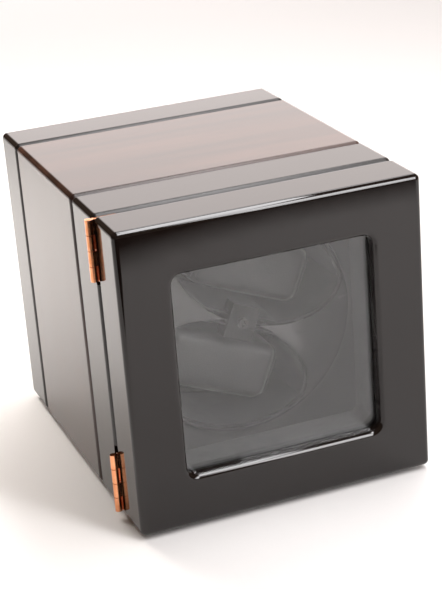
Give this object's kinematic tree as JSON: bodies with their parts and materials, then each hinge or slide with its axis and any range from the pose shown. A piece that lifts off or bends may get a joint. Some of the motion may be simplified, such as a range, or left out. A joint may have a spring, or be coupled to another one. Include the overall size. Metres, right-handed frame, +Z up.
{
  "type": "watch winder box",
  "caption": "Lacquered case with grooved rings, a thick glazed door on side hinges, and a motor-driven rotor whose oval cups hold watch cushions.",
  "frame": {"origin": "on the surface that the box stands on, under the middle of the case (hinge barrels left out)", "axes": "+Z up, the door faces -Y, the hinges are on the -X side, and the rotor's axis runs along Y"},
  "size_m": [0.1944, 0.237, 0.193],
  "materials": {
    "black_lacquer": "piano-black lacquer on fibreboard",
    "veneer": "dark wood veneer under clear gloss lacquer",
    "black_lining": "fibreboard covered with black flock",
    "board": "plain dark fibreboard",
    "back_board": "black satin painted board",
    "glass": "clear float glass",
    "copper": "polished rose copper plate",
    "steel": "zinc-plated steel",
    "black_steel": "black oxide steel",
    "bronze": "sintered bronze",
    "gear_plastic": "natural acetal",
    "rotor_gloss": "dark grey gloss moulding",
    "cup_plastic": "flocked dark grey moulding",
    "cushion_leather": "soft dark grey leatherette",
    "rubber": "black rubber",
    "clear_bumper": "soft translucent bumper",
    "control_black": "black textured moulding",
    "control_gloss": "black gloss moulding",
    "circuit_green": "green solder mask"
  },
  "bodies": {
    "case": {"front_band": "black_lacquer", "body_shell": "veneer", "rear_band": "black_lacquer", "case_liner": "black_lining", "rotor_surround": "black_lining", "bulkhead": "board", "corner_blocks": "board", "back_panel": "back_board", "back_panel_screws": "black_steel", "rubber_feet": "rubber", "upper_hinge_case_leaf": "copper", "lower_hinge_case_leaf": "copper", "upper_hinge_pin": "copper", "lower_hinge_pin": "copper", "hinge_case_screws": "copper", "door_magnets": "steel", "door_bumpers": "clear_bumper", "front_bush": "bronze", "rear_bush": "bronze", "gear_plate": "steel", "standoffs": "steel", "gear_plate_screws": "steel", "motor": "steel", "motor_screws": "steel", "idler_axle": "steel", "control_plate": "control_black", "control_plate_screws": "black_steel", "dc_jack": "control_black", "dc_jack_nut": "steel", "rocker_bezel": "control_gloss", "rotary_switch": "control_black", "slide_switch_body": "control_black", "circuit_board": "circuit_green"},
    "door": {"door_frame": "black_lacquer", "window_glass": "glass", "glazing_frame": "black_lining", "glazing_screws": "black_steel", "strike_plates": "steel", "upper_hinge_door_leaf": "copper", "lower_hinge_door_leaf": "copper", "hinge_door_screws": "copper"},
    "rotor": {"rotor_face": "rotor_gloss", "rotor_drum": "rotor_gloss", "upper_cup": "cup_plastic", "lower_cup": "cup_plastic", "hub_block": "cup_plastic", "hub_screw": "black_steel", "rotor_back_plate": "cup_plastic", "rotor_shaft": "steel", "rotor_screws": "steel", "drive_gear": "gear_plastic", "retaining_ring": "black_steel"},
    "idler": {"idler_gear": "gear_plastic"},
    "pinion": {"motor_pinion": "bronze"},
    "upper_pillow": {"upper_cushion": "cushion_leather"},
    "lower_pillow": {"lower_cushion": "cushion_leather"},
    "rocker": {"power_rocker": "control_gloss"},
    "knob": {"turns_knob": "control_black"},
    "slider": {"direction_slider": "control_gloss"}
  },
  "joints": [
    {"name": "door_hinge", "type": "hinge", "parent": "case", "child": "door", "pos_m": [-0.0972, -0.0817, 0.098], "axis": [0, 0, -1], "range_deg": [0, 180]},
    {"name": "rotor_spin", "type": "hinge", "parent": "case", "child": "rotor", "pos_m": [0, 0, 0.098], "axis": [0, 1, 0], "continuous": true},
    {"name": "idler_spin", "type": "hinge", "parent": "case", "child": "idler", "pos_m": [0, 0, 0.06], "axis": [0, 1, 0], "continuous": true},
    {"name": "pinion_spin", "type": "hinge", "parent": "case", "child": "pinion", "pos_m": [0.027, 0, 0.06], "axis": [0, 1, 0], "continuous": true},
    {"name": "upper_pillow_slide", "type": "slide", "parent": "rotor", "child": "upper_pillow", "axis": [0, -1, 0], "range_m": [0, 0.028]},
    {"name": "lower_pillow_slide", "type": "slide", "parent": "rotor", "child": "lower_pillow", "axis": [0, -1, 0], "range_m": [0, 0.028]},
    {"name": "power_switch", "type": "hinge", "parent": "case", "child": "rocker", "pos_m": [-0.012, 0.1045, 0.053], "axis": [1, 0, 0], "range_deg": [0, 16]},
    {"name": "knob_turn", "type": "hinge", "parent": "case", "child": "knob", "pos_m": [0.014, 0.108, 0.053], "axis": [0, -1, 0], "range_deg": [-135, 135]},
    {"name": "direction_slide", "type": "slide", "parent": "case", "child": "slider", "axis": [1, 0, 0], "range_m": [-0.003, 0.003]}
  ],
  "couplings": [
    {"joint": "idler_spin", "follows": "rotor_spin", "ratio": -3.75},
    {"joint": "pinion_spin", "follows": "rotor_spin", "ratio": 10.714}
  ]
}
